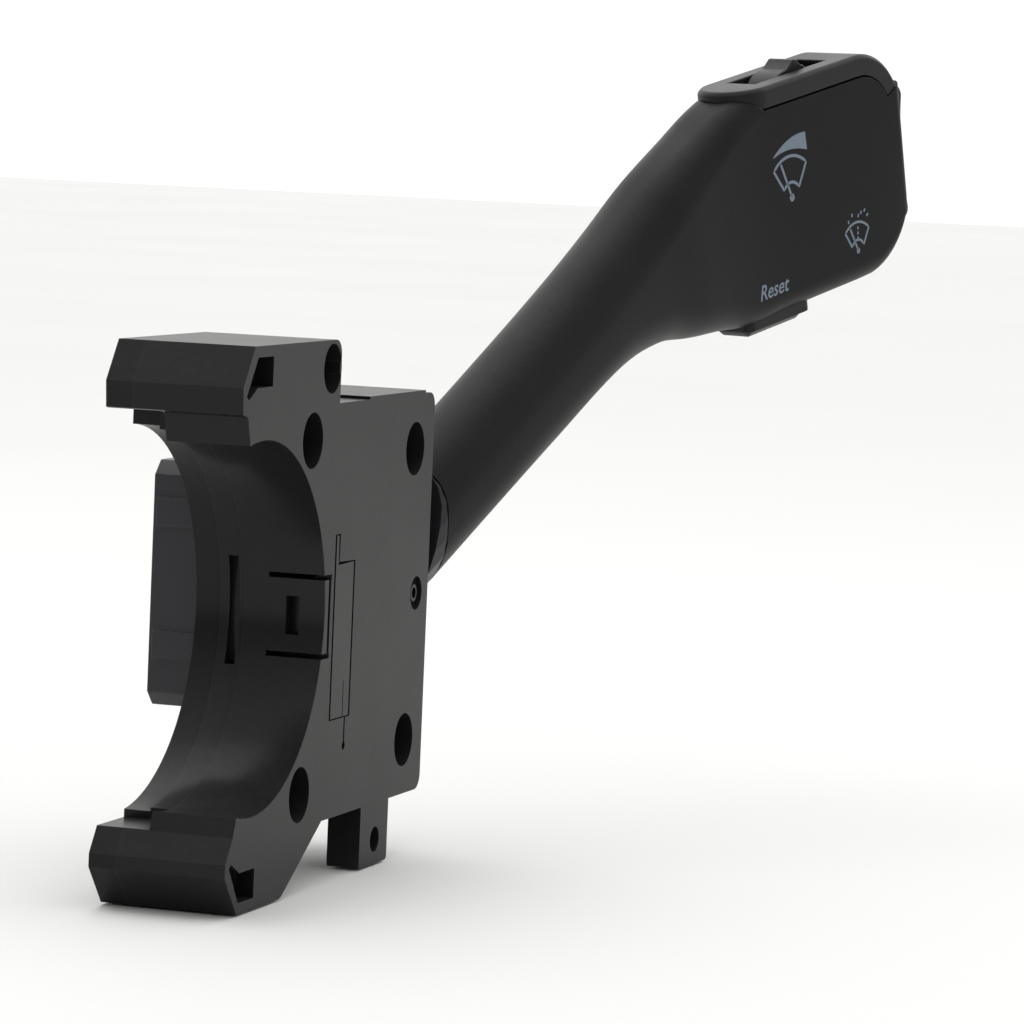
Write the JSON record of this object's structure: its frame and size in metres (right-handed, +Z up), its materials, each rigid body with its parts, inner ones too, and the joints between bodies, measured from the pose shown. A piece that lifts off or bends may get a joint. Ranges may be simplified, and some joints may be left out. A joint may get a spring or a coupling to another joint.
{
  "type": "steering column wiper switch",
  "caption": "Steering column wiper switch: a C-shaped housing that seats on the column and a cranked lever with a flat paddle, slider, rocker and button.",
  "frame": {"origin": "centre of the steering column seat, on the housing's face towards the driver and on the plane of symmetry of the seat", "axes": "+X towards the lever, +Y away from the driver along the steering column, +Z up"},
  "size_m": [0.2575, 0.0763, 0.1425],
  "materials": {
    "housing": "fine grained moulding",
    "cover": "fine grained moulding",
    "connector": "smooth moulding",
    "insert": "smooth moulding",
    "lever": "satin grained moulding",
    "trim": "satin moulding",
    "button": "fine grained moulding",
    "steel": "bright drawn steel",
    "spring_steel": "spring steel",
    "brass": "plated contact",
    "board": "solder-resist board",
    "acetal": "natural low-friction plastic"
  },
  "bodies": {
    "housing": {"front_housing": "housing", "rear_cover": "cover", "insert_key": "insert", "cover_screws": "steel", "connector_shroud": "connector", "connector_pins": "brass", "circuit_board": "board", "contact_strips": "brass", "slide_guide": "acetal", "detent_cam": "acetal", "washer_contact": "brass"},
    "carrier": {"swing_carrier": "acetal", "pivot_pins": "steel", "cross_pin": "steel", "detent_plunger": "steel", "detent_spring": "spring_steel"},
    "contact_slide": {"mode_slider": "acetal", "mode_contacts": "brass"},
    "washer_rod": {"washer_plunger": "acetal"},
    "lever": {"lever_core": "steel", "root_collar": "button", "lever_shell": "lever", "lever_cap": "trim", "reset_collar": "trim", "lever_board": "board", "rocker_pin": "steel", "rocker_switches": "connector", "reset_switch": "connector"},
    "interval": {"interval_slider": "button", "slider_wiper": "brass"},
    "rocker": {"end_rocker": "button"},
    "reset": {"reset_button": "button"}
  },
  "joints": [
    {"name": "swing", "type": "hinge", "parent": "housing", "child": "carrier", "pos_m": [0.0746, 0.0116, 0], "axis": [0, -1, 0], "range_deg": [-5.5, 16.5]},
    {"name": "pull", "type": "hinge", "parent": "carrier", "child": "lever", "pos_m": [0.0746, 0.0116, 0], "axis": [0, 0, -1], "range_deg": [0, 5.5], "stiffness_Nm_per_rad": 3, "springref_deg": -2.29},
    {"name": "contact_travel", "type": "slide", "parent": "housing", "child": "contact_slide", "axis": [0, 0, -1], "range_m": [-0.0023, 0.0066]},
    {"name": "washer_travel", "type": "slide", "parent": "carrier", "child": "washer_rod", "axis": [0, 1, 0], "range_m": [0, 0.00065]},
    {"name": "interval_travel", "type": "slide", "parent": "lever", "child": "interval", "axis": [0.9152, -0.3331, 0.2267], "range_m": [-0.0045, 0.0045]},
    {"name": "rocker_tilt", "type": "hinge", "parent": "lever", "child": "rocker", "pos_m": [0.23903, -0.03467, 0.07807], "axis": [-0.342, -0.9397, 0], "range_deg": [-5, 5], "stiffness_Nm_per_rad": 0.2},
    {"name": "reset_press", "type": "slide", "parent": "lever", "child": "reset", "axis": [-0.213, 0.0775, 0.974], "range_m": [0, 0.0015], "stiffness_N_per_m": 600, "springref_m": -0.001}
  ],
  "couplings": [
    {"joint": "contact_travel", "follows": "swing", "m_per_rad": 0.022},
    {"joint": "washer_travel", "follows": "pull", "m_per_rad": 0.0064}
  ]
}
